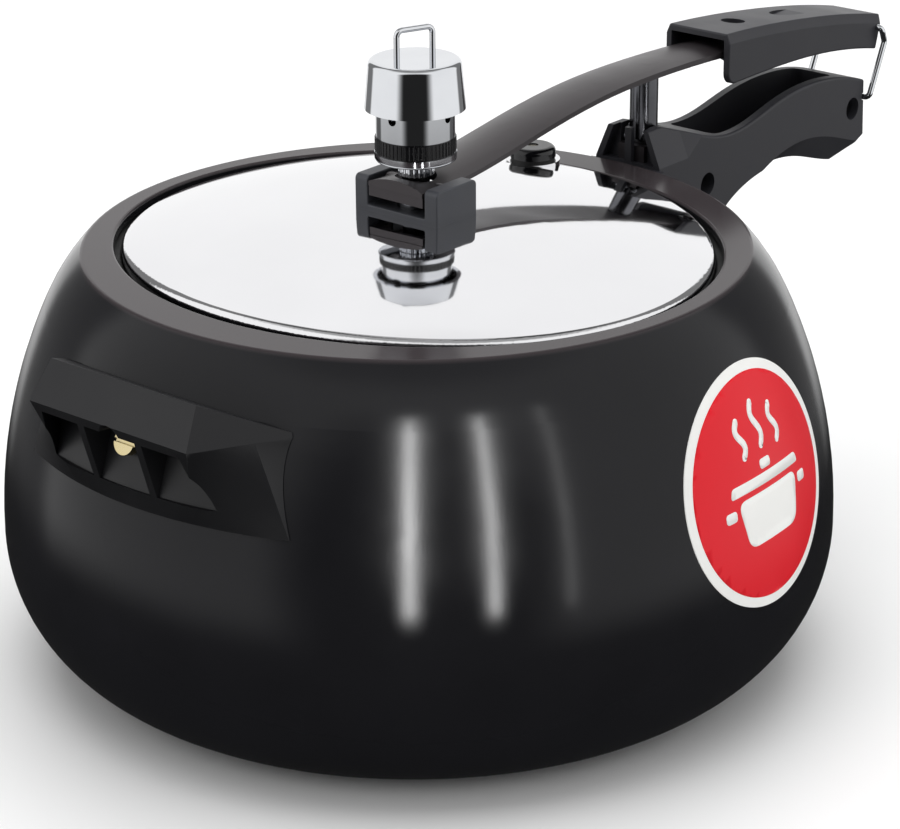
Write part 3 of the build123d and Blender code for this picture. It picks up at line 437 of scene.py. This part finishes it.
field = [(LABEL_FIELD_R * cos(2 * pi * k / LABEL_STEPS), LABEL_FIELD_R * sin(2 * pi * k / LABEL_STEPS))
         for k in range(LABEL_STEPS)]
on_label("label_field", [field], INK_T, FILM_RED)
POT_PICTURE = [
    rounded([(-12, -15), (12, -15), (15, -1), (-15, -1)], 3.6),
    rounded([(-17.5, 0.6), (17.5, 0.6), (16.5, 3.6), (-16.5, 3.6)], 1.2),
    rounded([(-2.6, 4.6), (2.6, 4.6), (2.6, 7.4), (-2.6, 7.4)], 1.2),
    rounded([(-20.5, -5.4), (-16.0, -5.4), (-16.0, -2.4), (-20.5, -2.4)], 1.2),
    rounded([(16.0, -5.4), (20.5, -5.4), (20.5, -2.4), (16.0, -2.4)], 1.2),
    wisp(-8.5, 10.0, 20.0, 1.3, 2.1), wisp(0.0, 11.0, 23.0, 1.3, 2.1), wisp(8.5, 10.0, 20.0, 1.3, 2.1),
]
on_label("label_picture", POT_PICTURE, 2 * INK_T, FILM_WHITE)


def ribs_tree():
    """Upright ribs round a ring: a small rod is repeated round a circle."""
    tree = bpy.data.node_groups.new("ribs_round_a_ring", "GeometryNodeTree")
    face = tree.interface
    ids = {}
    for name, kind in (("Ring radius", "Float"), ("Rib count", "Int"), ("Rib width", "Float"),
                       ("Rib height", "Float"), ("Middle height", "Float"), ("Finish", "Material")):
        ids[name] = face.new_socket(name, in_out="INPUT", socket_type="NodeSocket" + kind).identifier
    face.new_socket("Mesh", in_out="OUTPUT", socket_type="NodeSocketGeometry")
    given = add(tree, "NodeGroupInput").outputs
    half = add(tree, "ShaderNodeMath", {0: given["Rib width"], 1: 0.5}, operation="MULTIPLY")
    ring = add(tree, "GeometryNodeMeshCircle",
               {"Vertices": given["Rib count"], "Radius": given["Ring radius"]})
    rib = add(tree, "GeometryNodeMeshCylinder", {"Vertices": 10, "Radius": half.outputs[0],
                                                 "Depth": given["Rib height"]})
    spread = add(tree, "GeometryNodeInstanceOnPoints", {"Points": ring.outputs["Mesh"],
                                                        "Instance": rib.outputs["Mesh"]})
    real = add(tree, "GeometryNodeRealizeInstances", {"Geometry": spread.outputs["Instances"]})
    lift = add(tree, "ShaderNodeCombineXYZ", {"Z": given["Middle height"]})
    raised = add(tree, "GeometryNodeTransform", {"Geometry": real.outputs["Geometry"],
                                                 "Translation": lift.outputs["Vector"]})
    done = add(tree, "GeometryNodeSetMaterial", {"Geometry": raised.outputs["Geometry"],
                                                 "Material": given["Finish"]})
    add(tree, "NodeGroupOutput", {"Mesh": done.outputs["Geometry"]})
    return tree, ids


def ring_of_ribs(name, body, finish, radius, count, width, low, high):
    tree, ids = RIBS
    rough = bpy.data.objects.new("rough_" + name, bpy.data.meshes.new("rough_" + name))
    scene.collection.objects.link(rough)
    modifier = rough.modifiers.new("ribs", "NODES")
    modifier.node_group = tree
    for key, value in (("Ring radius", radius), ("Rib count", count), ("Rib width", width),
                       ("Rib height", high - low), ("Middle height", (low + high) / 2), ("Finish", finish)):
        modifier[ids[key]] = value
    view = bpy.context.evaluated_depsgraph_get()
    mesh = bpy.data.meshes.new_from_object(rough.evaluated_get(view))
    mesh.name = name
    bpy.data.objects.remove(rough)
    return as_piece(name, mesh, body)


RIBS = ribs_tree()
low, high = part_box("weight_band")
ring_of_ribs("band_ribs", "regulator", BAND, high.x - 0.15 * MM, BAND_RIBS, 0.8 * MM,
             low.z + 0.3 * MM, high.z - 0.3 * MM)
low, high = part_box("vent_nut")
ring_of_ribs("vent_nut_teeth", "lid", CHROME, high.x - 0.25 * MM, NUT_TEETH, 1.1 * MM,
             low.z, high.z)


# ---------------------------------------------------------------- set

def area_light(name, at, to, width, height, power, colour="ffffff"):
    data = bpy.data.lights.new(name, "AREA")
    data.shape = "RECTANGLE"
    data.size = width
    data.size_y = height
    data.energy = power
    data.color = tint(colour)[:3]
    light = bpy.data.objects.new(name, data)
    light.location = at
    light.rotation_euler = (Vector(to) - Vector(at)).to_track_quat("-Z", "Y").to_euler()
    scene.collection.objects.link(light)
    return light


# Tall narrow lights in front give the pot its upright stripes. They light nothing else.
STRIPS = [(-142.0, 0.085, 24.0), (-121.0, 0.075, 17.0), (-101.5, 0.05, 2.0)]
striped = bpy.data.collections.new("striped")
striped.objects.link(nodes["pot_body"])
for number, (turn, width, power) in enumerate(STRIPS):
    a = radians(turn)
    spot = (1.7 * cos(a), 1.7 * sin(a), 0.5)
    strip = area_light(f"strip_{number}", spot, (0.0, 0.0, 0.5), width, 1.5, power)
    strip.visible_diffuse = False
    strip.light_linking.receiver_collection = striped

overhead = area_light("overhead", (0.1, 0.1, 1.7), (0.0, 0.0, 0.0), 1.8, 1.8, 25.0)
overhead.visible_glossy = False


def world_light():
    """White belt above the table all round, with a dark gap on the camera's side and a dark ceiling and floor."""
    world = bpy.data.worlds.new("studio")
    scene.world = world
    world.use_nodes = True
    tree = world.node_tree
    back = tree.nodes["Background"]
    back.inputs["Color"].default_value = tint("ffffff")
    direction = add(tree, "ShaderNodeTexCoord").outputs["Generated"]
    behind = add(tree, "ShaderNodeVectorMath", {0: direction, 1: AWAY},
                 operation="DOT_PRODUCT").outputs["Value"]
    left = add(tree, "ShaderNodeVectorMath", {0: direction, 1: LEFT},
               operation="DOT_PRODUCT").outputs["Value"]
    left = add(tree, "ShaderNodeMath", {0: left}, operation="ABSOLUTE").outputs[0]
    slant = add(tree, "ShaderNodeMath", {0: left, 1: behind}, operation="DIVIDE").outputs[0]
    dark = add(tree, "ShaderNodeMapRange", {"Value": slant, "From Min": 0.5, "From Max": 0.62,
                                            "To Min": 0.0, "To Max": 0.85}, interpolation_type="SMOOTHSTEP")
    past = add(tree, "ShaderNodeMapRange", {"Value": slant, "From Min": 1.5, "From Max": 2.1,
                                            "To Min": 1.0, "To Max": 0.0}, interpolation_type="SMOOTHSTEP")
    flag = add(tree, "ShaderNodeMath", {0: dark.outputs["Result"], 1: past.outputs["Result"]},
               operation="MULTIPLY")
    up = add(tree, "ShaderNodeSeparateXYZ", {0: direction}).outputs["Z"]
    steps = [(behind, -0.9, -0.7, 0.0, 1.0), (up, -0.36, -0.22, 0.0, 1.0), (up, 0.72, 0.92, 1.0, 0.35)]
    level = add(tree, "ShaderNodeMath", {0: 1.05, 1: flag.outputs[0]}, operation="SUBTRACT").outputs[0]
    for value, low, high, start, end in steps:
        ramp = add(tree, "ShaderNodeMapRange", {"Value": value, "From Min": low, "From Max": high,
                                                "To Min": start, "To Max": end}, interpolation_type="SMOOTHSTEP")
        level = add(tree, "ShaderNodeMath", {0: ramp.outputs["Result"], 1: level},
                    operation="MULTIPLY").outputs[0]
    total = add(tree, "ShaderNodeMath", {0: level, 1: 0.02}, operation="ADD")
    tree.links.new(total.outputs[0], back.inputs["Strength"])


world_light()

bm = bmesh.new()
bmesh.ops.create_circle(bm, cap_ends=True, segments=96, radius=FLOOR_R)
floor_mesh = bpy.data.meshes.new("floor")
bm.to_mesh(floor_mesh)
bm.free()
floor = bpy.data.objects.new("floor", floor_mesh)
scene.collection.objects.link(floor)
floor_mat, floor_tree, floor_shader, floor_place = start_material(
    "pale_paper_floor", {"Roughness": 0.85, "Base Color": tint("f6f6f6")})
floor_mesh.materials.append(floor_mat)
floor.visible_glossy = False

camera_data = bpy.data.cameras.new("camera")
camera_data.lens = LENS
camera_data.sensor_width = 36.0
camera = bpy.data.objects.new("camera", camera_data)
camera.location = CAMERA_AT
aim = (CAMERA_TO - CAMERA_AT).to_track_quat("-Z", "Y")
camera.rotation_mode = "QUATERNION"
camera.rotation_quaternion = aim @ Quaternion((0, 0, 1), radians(CAMERA_ROLL))
scene.collection.objects.link(camera)
scene.camera = camera
